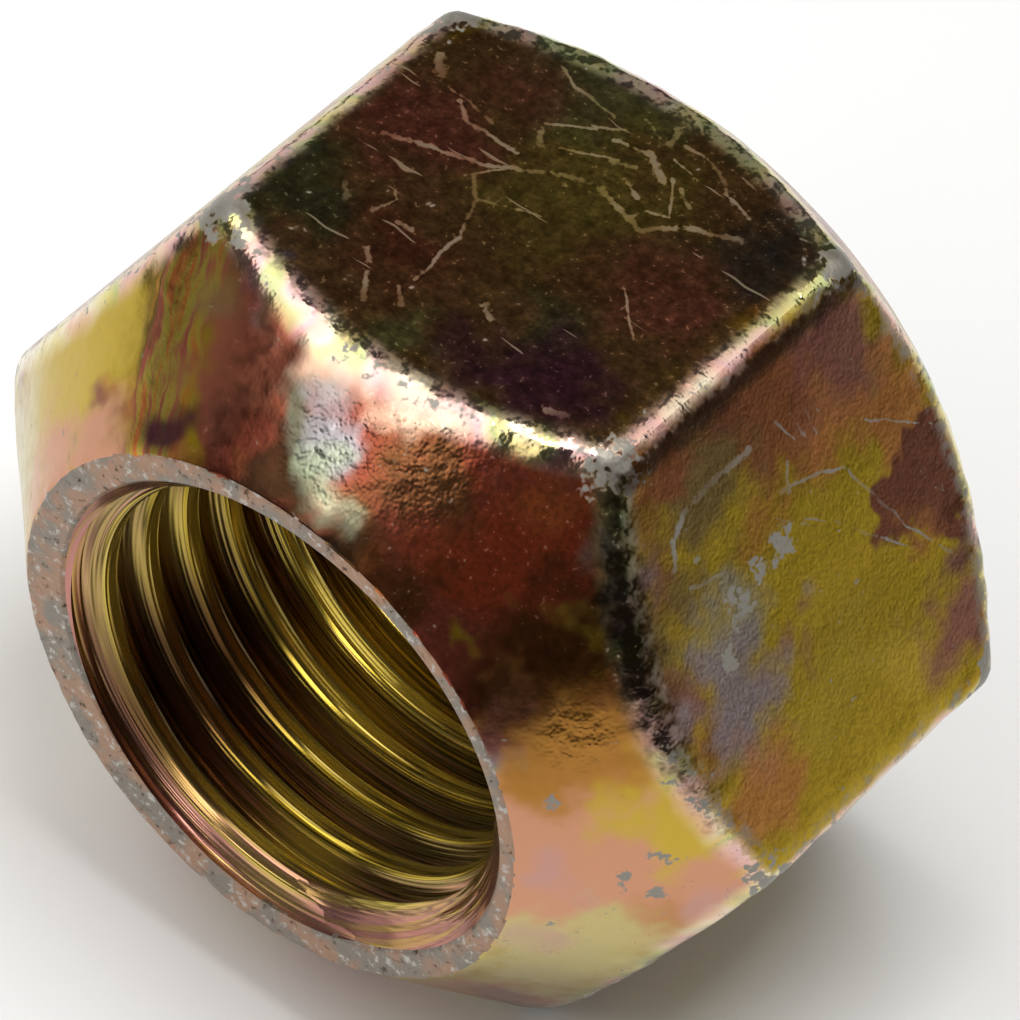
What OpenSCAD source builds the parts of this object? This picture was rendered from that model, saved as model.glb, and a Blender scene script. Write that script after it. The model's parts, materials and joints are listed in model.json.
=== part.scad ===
// Open lug nut with a conical seat: a hexagonal steel nut that clamps a wheel on its stud.
// The thread axis lies along Y, the seat end looks towards -Y and one flat faces down.
// The origin is on the thread axis, midway along the nut.

/* [Hexagon] */
// Width across the flats
hex_af = 17.46; // [16:0.01:24]
// Radius of the rounded edges between the flats
corner_r = 0.72; // [0.2:0.01:1.4]
// Length of the nut from the seat end to the rear face
nut_l = 12.6; // [10:0.1:30]

/* [Conical seat] */
// Full angle of the seat cone
seat_angle = 90; // [60:1:100]
// Diameter where the seat cone meets the seat end
seat_end_d = 12.7; // [12.2:0.05:14]
// Radius of the rounded rim of the seat end
seat_rim_r = 0.25; // [0.05:0.01:0.4]

/* [Rear end] */
// Diameter where the rear chamfer meets the rear face
rear_face_d = 16.3; // [13:0.05:17]
// Full angle of the rear chamfer's cone
rear_angle = 100; // [60:1:130]
// Radius of the rounded rim of the rear face
rear_rim_r = 0.4; // [0.05:0.01:0.8]

/* [Stud hole] */
// Diameter of the hole across the crests of the thread
bore_d = 9.9; // [7:0.01:10.6]
// Diameter of the countersink at each mouth of the hole
mouth_d = 11.5; // [10.7:0.05:11.9]
// Full angle of the countersinks
mouth_angle = 90; // [60:1:120]

/* [Hidden] */
$fn = 96;
// Number of flats, and half the angle from one to the next
sides = 6;
half_side = 180 / sides;
// How far a cut or an outline runs past the face that it crosses
overrun = 1;
// How far a rounding laps over the two faces that it joins
lap = 0.0005;

// Distance from a hexagon's middle to its corners, from the distance to its flats
function corner_reach(flat_reach) = flat_reach / cos(half_side);

// Section across the thread axis: six flats, with a disc rounding each corner
module hex_section() {
    disc_reach = corner_reach(hex_af / 2 - corner_r);
    intersection() {
        circle(r = corner_reach(hex_af / 2), $fn = sides);
        union() {
            rotate(half_side)
                circle(r = corner_reach(disc_reach + corner_r * cos(half_side)), $fn = sides);
            for (corner = [0 : sides - 1])
                rotate(2 * half_side * corner)
                    translate([disc_reach, 0])
                        circle(r = corner_r + lap);
        }
    }
}

// Turned form of one end: a flat face, a cone that widens along +Z, and a round rim between them
module turned_end(face_d, cone_angle, rim_r) {
    top = nut_l + overrun;
    cone_slope = tan(cone_angle / 2);
    // Slope of the chord of the rim, midway between the face and the cone
    chord_slope = tan((90 - cone_angle / 2) / 2);
    rim_reach = face_d / 2 - rim_r * chord_slope;
    rotate_extrude()
        intersection() {
            polygon([[0, 0], [face_d / 2, 0], [face_d / 2 + top * cone_slope, top], [0, top]]);
            union() {
                polygon([[0, -rim_reach * chord_slope], [rim_reach + top / chord_slope, top], [0, top]]);
                translate([rim_reach, rim_r])
                    circle(r = rim_r + lap);
            }
        }
}

// Hole for the stud, right through the nut, with a countersink at each mouth
module stud_hole() {
    mouth_slope = tan(mouth_angle / 2);
    mouth_depth = (mouth_d - bore_d) / 2 / mouth_slope;
    overrun_r = mouth_d / 2 + overrun * mouth_slope;
    rotate_extrude()
        polygon([
            [0, -overrun],
            [overrun_r, -overrun],
            [bore_d / 2, mouth_depth],
            [bore_d / 2, nut_l - mouth_depth],
            [overrun_r, nut_l + overrun],
            [0, nut_l + overrun]
        ]);
}

// The nut standing on its seat end, with its thread axis along Z
module standing_nut() {
    difference() {
        intersection() {
            linear_extrude(nut_l)
                hex_section();
            turned_end(seat_end_d, seat_angle, seat_rim_r);
            translate([0, 0, nut_l])
                mirror([0, 0, 1])
                    turned_end(rear_face_d, rear_angle, rear_rim_r);
        }
        stud_hole();
    }
}

module lug_nut() {
    color("darkkhaki")
        rotate([-90, 0, 0])
            translate([0, 0, -nut_l / 2])
                standing_nut();
}

lug_nut();
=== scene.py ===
"""Looks of a plated steel lug nut: turned, pressed to a hexagon, tapped, and lying on a pale floor."""
import json
import math

import bpy
from mathutils import Matrix, Vector


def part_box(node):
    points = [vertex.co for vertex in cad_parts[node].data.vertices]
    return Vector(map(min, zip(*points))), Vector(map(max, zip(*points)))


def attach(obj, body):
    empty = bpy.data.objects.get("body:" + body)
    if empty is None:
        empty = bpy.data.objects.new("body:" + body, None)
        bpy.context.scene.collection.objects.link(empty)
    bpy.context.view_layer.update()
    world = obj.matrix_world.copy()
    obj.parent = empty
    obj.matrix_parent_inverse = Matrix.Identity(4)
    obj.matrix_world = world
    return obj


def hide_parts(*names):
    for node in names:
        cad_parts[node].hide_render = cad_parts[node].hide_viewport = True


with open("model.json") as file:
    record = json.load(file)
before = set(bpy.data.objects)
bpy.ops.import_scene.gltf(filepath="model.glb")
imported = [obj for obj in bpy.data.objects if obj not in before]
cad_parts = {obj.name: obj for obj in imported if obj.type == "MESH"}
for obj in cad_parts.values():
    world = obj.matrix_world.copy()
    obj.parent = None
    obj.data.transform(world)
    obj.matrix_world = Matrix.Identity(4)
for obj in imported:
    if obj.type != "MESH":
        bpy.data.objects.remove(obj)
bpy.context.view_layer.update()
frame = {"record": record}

MM = 0.001

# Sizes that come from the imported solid
nut_low, nut_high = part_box("lug_nut")
NUT_LENGTH = nut_high.y - nut_low.y
FLAT_REACH = nut_high.z
SEAT_Y = nut_low.y
REAR_Y = nut_high.y
FLOOR_Z = nut_low.z
CREST_R = next(m["dims"]["r_mm"] for m in frame["record"]["mounts"] if m["name"] == "stud_thread") * MM

# Sizes of the turned blank, as in the solid
SIDES = 6
CORNER_R = FLAT_REACH / math.cos(math.pi / SIDES)
SEAT_END_R = 6.33 * MM
SEAT_HALF_ANGLE = math.radians(45)
SEAT_RIM_R = 0.25 * MM
REAR_FACE_R = 8.15 * MM
REAR_HALF_ANGLE = math.radians(50)
REAR_RIM_R = 0.4 * MM
MOUTH_R = 5.734 * MM
MOUTH_HALF_ANGLE = math.radians(45)
MOUTH_LIP_R = 0.05 * MM
RING_R = SEAT_END_R - SEAT_RIM_R * math.tan((math.pi / 2 - SEAT_HALF_ANGLE) / 2)

# How far off the thread axis the seat end was countersunk
MOUTH_SHIFT = Vector((0.27, 0, 0.25)) * MM

# How finely the blank is turned
STATION_STEP = 0.17 * MM
SPIN_STEPS = 360

# The thread: its pitch, the radius of its roots, its flats, and how far its corners are eased
PITCH = 1.27 * MM
ROOT_R = 5.58 * MM
CREST_FLAT = 0.34 * MM
ROOT_FLAT = 0.16 * MM
THREAD_EASE = 0.06 * MM

# How far from the seat end a groove of the thread lies at the nut's left
GROOVE_AT_LEFT = 0.42 * MM

# How finely the tap is made, how many turns stand out before the seat end, and how many it has to spare
THREAD_STEPS = 240
TAP_LEAD_TURNS = 4
TAP_SPARE_TURNS = 6

# How the pressed edges are rolled over: rounds of smoothing at each end, and how far the rear ones reach
SEAT_ROLL_ROUNDS = 18
REAR_ROLL_ROUNDS = 5
REAR_ROLL_REACH = 2.9 * MM

# The uneven surface: how wide its hollows are and how deep, and how far the knocks and the burr reach
FORGING_GRAIN = 2.6 * MM
FORGING_DEPTH = 0.05 * MM
KNOCK_GRAIN = 0.5 * MM
KNOCK_DEPTH = 0.09 * MM
KNOCK_REACH = 0.9 * MM
BURR_GRAIN = 0.4 * MM
BURR_DEPTH = 0.11 * MM
BURR_REACH = 0.3 * MM

# An edge that turns by more than this stays sharp
SHARP_ANGLE = math.radians(22)

# Points closer than this are one point
WELD = 0.001 * MM


def only_select(obj):
    """Makes obj the one selected and active object."""
    bpy.ops.object.select_all(action="DESELECT")
    obj.select_set(True)
    bpy.context.view_layer.objects.active = obj


def edit(obj):
    """Opens obj in edit mode with all of it selected."""
    only_select(obj)
    bpy.ops.object.mode_set(mode="EDIT")
    bpy.ops.mesh.select_all(action="SELECT")


def leave_edit():
    bpy.ops.object.mode_set(mode="OBJECT")


def select_points(obj, wanted):
    """Selects, in edit mode, the points of obj for which wanted(co) is true."""
    leave_edit()
    mesh = obj.data
    mesh.polygons.foreach_set("select", [False] * len(mesh.polygons))
    mesh.edges.foreach_set("select", [False] * len(mesh.edges))
    mesh.vertices.foreach_set("select", [wanted(v.co) for v in mesh.vertices])
    bpy.ops.object.mode_set(mode="EDIT")
    bpy.ops.mesh.select_mode(type="VERT")


def apply_modifier(obj, kind, **settings):
    only_select(obj)
    modifier = obj.modifiers.new(kind.lower(), kind)
    for name, value in settings.items():
        setattr(modifier, name, value)
    bpy.ops.object.modifier_apply(modifier=modifier.name)


def cut(obj, tool):
    """Takes the tool's shape away from obj, and then the tool itself."""
    apply_modifier(obj, "BOOLEAN", operation="DIFFERENCE", solver="MANIFOLD", object=tool)
    bpy.data.objects.remove(tool)


def off_axis(co):
    """How far a point is from the thread axis."""
    return math.hypot(co.x, co.z)


def under_cone(along, r, face_r, half_angle):
    """How deep a point, along from an end face of radius face_r, lies under the cone that leaves it."""
    return along * math.sin(half_angle) - (r - face_r) * math.cos(half_angle)


def face_depths(co):
    """How deep a point lies under the three pairs of flats, the seat and the rear chamfer."""
    r = off_axis(co)
    depths = [
        FLAT_REACH - abs(co.x * math.sin(turn) + co.z * math.cos(turn))
        for turn in (0, math.tau / SIDES, 2 * math.tau / SIDES)
    ]
    depths.append(under_cone(co.y - SEAT_Y, r, SEAT_END_R, SEAT_HALF_ANGLE))
    depths.append(under_cone(REAR_Y - co.y, r, REAR_FACE_R, REAR_HALF_ANGLE))
    return depths


def stations_between(start, end, step):
    """Points from start to end, start left out, no further apart than step."""
    count = max(1, math.ceil((end - start).length / step))
    return [start.lerp(end, i / count) for i in range(1, count + 1)]


def rim_stations(face_r, rim_r, half_angle, count=5):
    """The round rim from an end face at height 0 to the cone that leaves it, as (radius, height)."""
    turn = math.pi / 2 - half_angle
    centre = Vector((face_r - rim_r * math.tan(turn / 2), rim_r))
    return [
        centre + rim_r * Vector((math.sin(turn * i / count), -math.cos(turn * i / count)))
        for i in range(count + 1)
    ]


def draw_outline(name, stations):
    """A chain of edges through stations (radius, along the thread axis), drawn in the plane of X and Y."""
    bpy.ops.object.select_all(action="DESELECT")
    bpy.ops.mesh.primitive_plane_add(size=MM)
    obj = bpy.context.object
    obj.name = name
    bpy.ops.object.mode_set(mode="EDIT")
    bpy.ops.mesh.merge(type="CENTER")
    bpy.ops.transform.translate(value=(stations[0].x, stations[0].y, 0))
    for before, after in zip(stations, stations[1:]):
        move = after - before
        bpy.ops.mesh.extrude_vertices_move(TRANSFORM_OT_translate={"value": (move.x, move.y, 0)})
    leave_edit()
    return obj


def lathe(name, stations):
    """Spins an outline that starts and ends on the thread axis into a closed solid."""
    obj = draw_outline(name, stations)
    edit(obj)
    bpy.ops.mesh.spin(steps=SPIN_STEPS, angle=math.tau, center=(0, 0, 0), axis=(0, 1, 0))
    bpy.ops.mesh.select_all(action="SELECT")
    bpy.ops.mesh.remove_doubles(threshold=WELD)
    bpy.ops.mesh.normals_make_consistent(inside=False)
    leave_edit()
    return obj


def turned_blank():
    """The solid blank as it leaves the lathe, with its end faces closed."""
    seat_rim = [Vector((p.x, SEAT_Y + p.y)) for p in rim_stations(SEAT_END_R, SEAT_RIM_R, SEAT_HALF_ANGLE)]
    rear_rim = [Vector((p.x, REAR_Y - p.y)) for p in rim_stations(REAR_FACE_R, REAR_RIM_R, REAR_HALF_ANGLE)]
    rear_rim.reverse()
    seat_shoulder = Vector((CORNER_R, SEAT_Y + (CORNER_R - SEAT_END_R) / math.tan(SEAT_HALF_ANGLE)))
    rear_shoulder = Vector((CORNER_R, REAR_Y - (CORNER_R - REAR_FACE_R) / math.tan(REAR_HALF_ANGLE)))
    outline = [Vector((0, SEAT_Y)), Vector((MOUTH_R - STATION_STEP, SEAT_Y))]
    outline += stations_between(outline[-1], seat_rim[0], 0.6 * STATION_STEP)
    outline += seat_rim[1:]
    for corner in (seat_shoulder, rear_shoulder, rear_rim[0]):
        outline += stations_between(outline[-1], corner, STATION_STEP)
    outline += rear_rim[1:]
    outline += stations_between(outline[-1], Vector((MOUTH_R - STATION_STEP, REAR_Y)), 2 * STATION_STEP)
    outline.append(Vector((0, REAR_Y)))
    return lathe("lug_nut_plated", outline)


def press_flats(blank):
    """Presses the six flats, one after the other: what stands past a flat is moved straight onto it."""
    for _ in range(SIDES):
        edit(blank)
        select_points(blank, lambda co: co.z > FLAT_REACH)
        bpy.ops.transform.resize(value=(1, 1, 0), center_override=(0, 0, FLAT_REACH))
        bpy.ops.mesh.select_all(action="SELECT")
        bpy.ops.transform.rotate(value=math.tau / SIDES, orient_axis="Y", center_override=(0, 0, 0))
        leave_edit()


def soften(blank, wanted, repeat):
    """Rolls the pressed edges over where wanted(co) is true."""
    edit(blank)
    select_points(blank, wanted)
    bpy.ops.mesh.vertices_smooth(factor=0.5, repeat=repeat)
    leave_edit()


def batter(blank, name, weight_at, grain, depth):
    """Presses hollows about grain wide and depth deep into the blank, as strongly as weight_at(co) says."""
    group = blank.vertex_groups.new(name=name)
    for point in blank.data.vertices:
        weight = weight_at(point.co)
        if weight > 0:
            group.add([point.index], weight, "REPLACE")
    texture = bpy.data.textures.new(name, "CLOUDS")
    texture.noise_scale = grain
    texture.noise_depth = 1
    apply_modifier(
        blank, "DISPLACE", texture=texture, texture_coords="LOCAL", strength=depth, mid_level=0.6,
        vertex_group=name,
    )


def thread_profile():
    """One pitch of the thread from crest to crest, as (radius, along the axis)."""
    crest = CREST_FLAT / 2
    flank = (PITCH - CREST_FLAT - ROOT_FLAT) / 2
    groove = ROOT_R - CREST_R
    half = [
        (0, 0),
        (crest - THREAD_EASE, 0),
        (crest + 0.3 * THREAD_EASE, 0.06 * groove),
        (crest + THREAD_EASE, 0.16 * groove),
        (crest + 0.5 * flank, 0.5 * groove),
        (crest + flank - THREAD_EASE, 0.86 * groove),
        (crest + flank, 0.97 * groove),
        (crest + flank + 0.5 * ROOT_FLAT, groove),
    ]
    points = [Vector((CREST_R + up, along)) for along, up in half]
    back = [Vector((CREST_R + up, PITCH - along)) for along, up in reversed(half[:-1])]
    return points + back


def tap():
    """The tap that cuts the thread: one pitch of its profile carried along a right-hand helix."""
    turns = math.ceil(NUT_LENGTH / PITCH) + TAP_SPARE_TURNS
    start = SEAT_Y + GROOVE_AT_LEFT - TAP_LEAD_TURNS * PITCH
    rod = draw_outline("tap", [Vector((p.x, p.y + start)) for p in thread_profile()])
    apply_modifier(
        rod, "SCREW", axis="Y", angle=math.tau, screw_offset=PITCH, iterations=turns,
        steps=THREAD_STEPS, render_steps=THREAD_STEPS, use_smooth_shade=False,
    )
    edit(rod)
    bpy.ops.mesh.remove_doubles(threshold=WELD)
    for end, way in ((SEAT_Y - PITCH, -1), (REAR_Y + PITCH, 1)):
        bpy.ops.mesh.select_all(action="SELECT")
        bpy.ops.mesh.bisect(
            plane_co=(0, end, 0), plane_no=(0, way, 0), threshold=WELD / 10,
            use_fill=True, clear_outer=True,
        )
    bpy.ops.mesh.select_all(action="SELECT")
    bpy.ops.mesh.normals_make_consistent(inside=False)
    leave_edit()
    return rod


def countersink(face_y, inward, shift):
    """The cutter for a mouth of the hole: off the axis by shift, with a lip that rolls onto the face."""
    depth = (MOUTH_R - CREST_R + shift.length) / math.tan(MOUTH_HALF_ANGLE) + 2 * STATION_STEP
    tip_r = MOUTH_R - depth * math.tan(MOUTH_HALF_ANGLE)
    turn = math.pi / 2 - MOUTH_HALF_ANGLE
    lip_centre = Vector((MOUTH_R + MOUTH_LIP_R * math.tan(turn / 2), MOUTH_LIP_R))
    lip = [
        lip_centre - MOUTH_LIP_R * Vector((math.sin(a), math.cos(a)))
        for a in (turn * (1 - i / 4) for i in range(4))
    ]
    lip.append(Vector((lip_centre.x + 0.3 * STATION_STEP, -2 * WELD)))
    profile = [Vector((0, depth)), Vector((tip_r, depth))]
    profile += stations_between(profile[-1], lip[0], 0.5 * STATION_STEP)
    profile += lip[1:]
    profile += [Vector((lip[-1].x, -MM)), Vector((0, -MM))]
    cutter = lathe("countersink", [Vector((p.x, face_y + inward * p.y)) for p in profile])
    edit(cutter)
    bpy.ops.transform.translate(value=shift)
    leave_edit()
    return cutter


def edge_knock(co):
    """How strongly the small knocks of use mark a point: fully on an edge, not at all away from it."""
    if off_axis(co) < SEAT_END_R + SEAT_RIM_R:
        return 0.0
    return max(0.0, 1 - max(sorted(face_depths(co))[1], 0) / KNOCK_REACH)


def rim_burr(co):
    """How strongly a point is burred: fully on the rim of the seat end, not at all away from it."""
    if co.y > REAR_Y - NUT_LENGTH / 2:
        return 0.0
    return max(0.0, 1 - math.hypot(off_axis(co) - RING_R, co.y - SEAT_Y) / BURR_REACH)


def roll_edges(blank):
    """Rolls the pressed edges over, more at the seat than at the rear end."""
    rear_start = REAR_Y - REAR_ROLL_REACH
    seat_r = SEAT_END_R + 2 * STATION_STEP
    rear_r = MOUTH_R + STATION_STEP
    soften(blank, lambda co: off_axis(co) > seat_r and co.y < rear_start, SEAT_ROLL_ROUNDS)
    soften(blank, lambda co: off_axis(co) > rear_r and co.y >= rear_start, REAR_ROLL_ROUNDS)


def nut():
    """The whole nut: turned, pressed, softened, battered, tapped and countersunk."""
    blank = turned_blank()
    press_flats(blank)
    roll_edges(blank)
    batter(blank, "forging", lambda co: float(off_axis(co) > SEAT_END_R), FORGING_GRAIN, FORGING_DEPTH)
    batter(blank, "knocks", edge_knock, KNOCK_GRAIN, KNOCK_DEPTH)
    batter(blank, "burr", rim_burr, BURR_GRAIN, BURR_DEPTH)
    cut(blank, tap())
    cut(blank, countersink(SEAT_Y, 1, MOUTH_SHIFT))
    cut(blank, countersink(REAR_Y, -1, Vector((0, 0, 0))))
    edit(blank)
    bpy.ops.mesh.remove_doubles(threshold=0.3 * WELD)
    bpy.ops.mesh.normals_make_consistent(inside=False)
    leave_edit()
    bpy.ops.object.shade_smooth_by_angle(angle=SHARP_ANGLE)
    return blank


def add_node(kind, inputs, **settings):
    """Adds a node to the tree that its inputs come from: values and outputs, by socket name or number."""
    tree = next(value.id_data for value in inputs.values() if isinstance(value, bpy.types.NodeSocket))
    node = tree.nodes.new("ShaderNode" + kind)
    for name, value in settings.items():
        setattr(node, name, value)
    for key, value in inputs.items():
        if isinstance(value, bpy.types.NodeSocket):
            tree.links.new(value, node.inputs[key])
        else:
            node.inputs[key].default_value = value
    return node


def feed(sockets, **outputs):
    """Links outputs to the sockets of the same names, which are written with underscores here."""
    for name, output in outputs.items():
        output.id_data.links.new(output, sockets[name.replace("_", " ").title()])


def calc(operation, *values, clamp=False):
    """The result of one Math node."""
    return add_node("Math", dict(enumerate(values)), operation=operation, use_clamp=clamp).outputs[0]


def times(value, factor):
    return calc("MULTIPLY", value, factor)


def vector_calc(operation, *values):
    """The vector of one Vector Math node."""
    return add_node("VectorMath", dict(enumerate(values)), operation=operation).outputs["Vector"]


def measure(operation, *values):
    """The number of one Vector Math node, such as a length."""
    return add_node("VectorMath", dict(enumerate(values)), operation=operation).outputs["Value"]


def scaled(vector, scale):
    return add_node("VectorMath", {0: vector, "Scale": scale}, operation="SCALE").outputs["Vector"]


def parts(vector):
    """The X, Y and Z of a vector."""
    return add_node("SeparateXYZ", {0: vector}).outputs


def joined(**axes):
    """A vector with the parts that are given, such as X, and 0 for the others."""
    return add_node("CombineXYZ", axes).outputs[0]


def axis_distance(split):
    """How far a point, given by its parts, is from the thread axis."""
    return measure("LENGTH", joined(X=split[0], Z=split[2]))


def smooth_step(value, low, high, start, end):
    """A value that is start below low and end above high, and goes smoothly from one to the other."""
    inputs = {"Value": value, "From Min": low, "From Max": high, "To Min": start, "To Max": end}
    return add_node("MapRange", inputs, interpolation_type="SMOOTHSTEP").outputs["Result"]


def rise(value, low, high):
    """A smooth step that is 0 below low and 1 above high."""
    return smooth_step(value, low, high, 0.0, 1.0)


def fall(value, low, high, top=1.0):
    """A smooth step that is top below low and 0 above high."""
    return smooth_step(value, low, high, top, 0.0)


def cloud(where, scale, detail=2.0, roughness=0.5, output="Fac"):
    inputs = {"Vector": where, "Scale": scale, "Detail": detail, "Roughness": roughness}
    return add_node("TexNoise", inputs).outputs[output]


def lay_over(mask, under, over):
    """One colour laid over another where the mask is 1."""
    return add_node("Mix", {0: mask, 6: under, 7: over}, data_type="RGBA").outputs[2]


def between(mask, low, high):
    """A value that goes from low to high with the mask."""
    return add_node("Mix", {0: mask, 2: low, 3: high}, data_type="FLOAT").outputs[0]


def strewn(where, scale, reach):
    """Coordinates pushed about by up to reach, so that what is drawn on them has a natural outline."""
    push = vector_calc("SUBTRACT", cloud(where, scale, 0.0, output="Color"), (0.5, 0.5, 0.5))
    return vector_calc("ADD", where, scaled(push, 2 * reach))


def bump(depth, height):
    """The normal of a surface that is as uneven as height says, and depth deep."""
    return add_node("Bump", {"Strength": 1.0, "Distance": depth, "Height": height}).outputs["Normal"]


def colour_ramp(value, stops):
    ramp = add_node("ValToRGB", {0: value})
    elements = ramp.color_ramp.elements
    while len(elements) < len(stops):
        elements.new(0.5)
    for element, (position, colour) in zip(elements, stops):
        element.position = position
        element.color = (*colour, 1)
    return ramp.outputs["Color"]


def new_group(name, inputs, outputs):
    """A shader node group with named sockets: gives its tree, its inputs and its results."""
    tree = bpy.data.node_groups.new(name, "ShaderNodeTree")
    for side, sockets in (("INPUT", inputs), ("OUTPUT", outputs)):
        for socket_name, kind in sockets.items():
            tree.interface.new_socket(socket_name, in_out=side, socket_type="NodeSocket" + kind)
    return tree, tree.nodes.new("NodeGroupInput").outputs, tree.nodes.new("NodeGroupOutput").inputs


def use_group(name, **inputs):
    """Places one of the shared groups, and gives its results."""
    return add_node("Group", inputs, node_tree=groups[name]).outputs


def stain_group():
    """A round stain with a ragged border: as strong as Strength at its place, 0 beyond 1 / Nearness."""
    sockets = {"Vector": "Vector", "Ragged": "Float", "Place": "Vector", "Nearness": "Float"}
    sockets |= {"Inner": "Float", "Strength": "Float"}
    tree, given, result = new_group("stain", sockets, {"Mask": "Float"})
    apart = measure("DISTANCE", given["Vector"], given["Place"])
    share = calc("MULTIPLY_ADD", apart, given["Nearness"], given["Ragged"])
    feed(result, mask=fall(share, given["Inner"], 1.0, given["Strength"]))
    return tree


def scratch_group():
    """How far a point is from a straight stroke, as 1 at its border. Share gives how far along it is."""
    tree, given, result = new_group(
        "scratch",
        {"Vector": "Vector", "Start": "Vector", "Stroke": "Vector", "Share": "Vector", "Thinness": "Float"},
        {"Border": "Float"},
    )
    offset = vector_calc("SUBTRACT", given["Vector"], given["Start"])
    share = calc("ADD", measure("DOT_PRODUCT", offset, given["Share"]), 0.0, clamp=True)
    apart = measure("DISTANCE", offset, scaled(given["Stroke"], share))
    feed(result, border=times(apart, given["Thinness"]))
    return tree


def node_depths(where):
    """The same depths as face_depths gives, in mm, worked out by nodes."""
    split = parts(where)
    r = axis_distance(split)
    depths = []
    for number in range(3):
        turn = number * math.tau / SIDES
        facing = measure("DOT_PRODUCT", where, (math.sin(turn), 0, math.cos(turn)))
        depths.append(calc("SUBTRACT", FLAT_REACH / MM, calc("ABSOLUTE", facing)))
    for end_y, way, face_r, half_angle in (
        (SEAT_Y, 1, SEAT_END_R, SEAT_HALF_ANGLE),
        (REAR_Y, -1, REAR_FACE_R, REAR_HALF_ANGLE),
    ):
        from_end = calc("SUBTRACT", split[1], end_y / MM)
        past_face = calc("SUBTRACT", r, face_r / MM)
        along = times(from_end, way * math.sin(half_angle))
        out = times(past_face, math.cos(half_angle))
        depths.append(calc("SUBTRACT", along, out))
    return depths


def edge_group():
    """How far a point is from the nearest flat, edge and corner, in mm, by its depths under the faces."""
    tree, given, result = new_group(
        "nut_edge", {"Vector": "Vector"}, {"Flat": "Float", "Edge": "Float", "Corner": "Float"},
    )
    depths = node_depths(given["Vector"])
    flat = calc("MINIMUM", calc("MINIMUM", *depths[:2]), depths[2])
    least, second, third = depths[0], FAR, FAR
    for depth in depths[1:]:
        third = calc("MINIMUM", third, calc("MAXIMUM", second, depth))
        second = calc("MINIMUM", second, calc("MAXIMUM", least, depth))
        least = calc("MINIMUM", least, depth)
    feed(result, flat=flat, edge=second, corner=third)
    return tree


def film_group():
    """The iridescent colours of the plating by the thickness of its film: full, and pale for the edges."""
    tree, given, result = new_group("film", {"Vector": "Vector"}, {"Color": "Color", "Pale": "Color"})
    broad = calc("SUBTRACT", cloud(given["Vector"], *BROAD_FILM), 0.5)
    fine = calc("SUBTRACT", cloud(given["Vector"], *FINE_FILM), 0.5)
    thickness = calc("MULTIPLY_ADD", broad, BROAD_FILM_CHANGE, FILM_THICKNESS)
    thickness = calc("MULTIPLY_ADD", fine, FINE_FILM_CHANGE, thickness)
    quick_change = calc("FRACT", times(thickness, PALE_ROUNDS))
    feed(result, color=colour_ramp(thickness, FILM_BANDS), pale=colour_ramp(quick_change, PALE_BANDS))
    return tree


def peel_group():
    """The orange-peel ripple of the plating, and a finer grain on it."""
    tree, given, result = new_group(
        "orange_peel", {"Vector": "Vector", "Grain": "Float"}, {"Height": "Float"},
    )
    ripple = cloud(given["Vector"], 4.0, 0.0)
    grain = cloud(given["Vector"], 12.0, 0.0)
    feed(result, height=calc("MULTIPLY_ADD", grain, given["Grain"], ripple))
    return tree


def scuff_group():
    """Short random scrapes in two directions; fewer of them the nearer Rarity is to 1."""
    tree, given, result = new_group("scuffs", {"Vector": "Vector", "Rarity": "Float"}, {"Mask": "Float"})
    marks = []
    for turn, stretch in SCUFF_LAYS:
        laid = add_node("Mapping", {0: given["Vector"], 2: turn, 3: stretch}).outputs[0]
        streak = cloud(laid, 0.8, 0.0)
        marks.append(rise(streak, given["Rarity"], calc("ADD", given["Rarity"], 0.02)))
    feed(result, mask=calc("MAXIMUM", *marks))
    return tree


# Tints of the plating, as linear colours
PALE_STRAW = (0.50, 0.42, 0.17)
GOLD = (0.52, 0.36, 0.045)
ORANGE = (0.68, 0.30, 0.05)
AMBER = (0.40, 0.18, 0.035)
COPPER_PINK = (0.56, 0.27, 0.16)
COPPER = (0.30, 0.12, 0.045)
DARK_COPPER = (0.17, 0.07, 0.026)
# Pale peach, used as a painted highlight on the seat
PAINTED_HIGHLIGHT_PEACH = (0.68, 0.45, 0.31)
LILAC_PINK = (0.50, 0.27, 0.24)
MULBERRY = (0.13, 0.03, 0.07)
DARK_PLUM = (0.075, 0.022, 0.035)
MOSS = (0.30, 0.36, 0.12)
DARK_MOSS = (0.11, 0.13, 0.05)
INK = (0.06, 0.06, 0.055)
OLIVE = (0.42, 0.33, 0.05)
OLIVE_BROWN = (0.18, 0.115, 0.035)
DARK_OLIVE = (0.14, 0.11, 0.015)
MAROON = (0.42, 0.11, 0.07)
GARNET = (0.26, 0.06, 0.035)
DEEP_RED = (0.37, 0.062, 0.024)
RUST = (0.55, 0.16, 0.04)
BROWN = (0.30, 0.10, 0.04)
SOOT_BROWN = (0.12, 0.04, 0.012)
BLACK_BROWN = (0.045, 0.022, 0.010)
SILVER_GREEN = (0.32, 0.36, 0.23)
SILVER_LILAC = (0.32, 0.30, 0.31)
SILVER_OLIVE = (0.14, 0.14, 0.09)
UMBER = (0.26, 0.13, 0.045)
OCHRE = (0.37, 0.25, 0.012)
RUST_BROWN = (0.24, 0.075, 0.028)
PLUM_BROWN = (0.23, 0.085, 0.07)
MAROON_BROWN = (0.145, 0.045, 0.026)
BURNT_ORANGE = (0.41, 0.16, 0.04)
MAROON_RED = (0.36, 0.115, 0.065)
OLIVE_DRAB = (0.30, 0.22, 0.08)
LILAC_GREY = (0.26, 0.20, 0.20)
ASH = (0.27, 0.24, 0.18)
TAUPE = (0.30, 0.22, 0.17)

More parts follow.
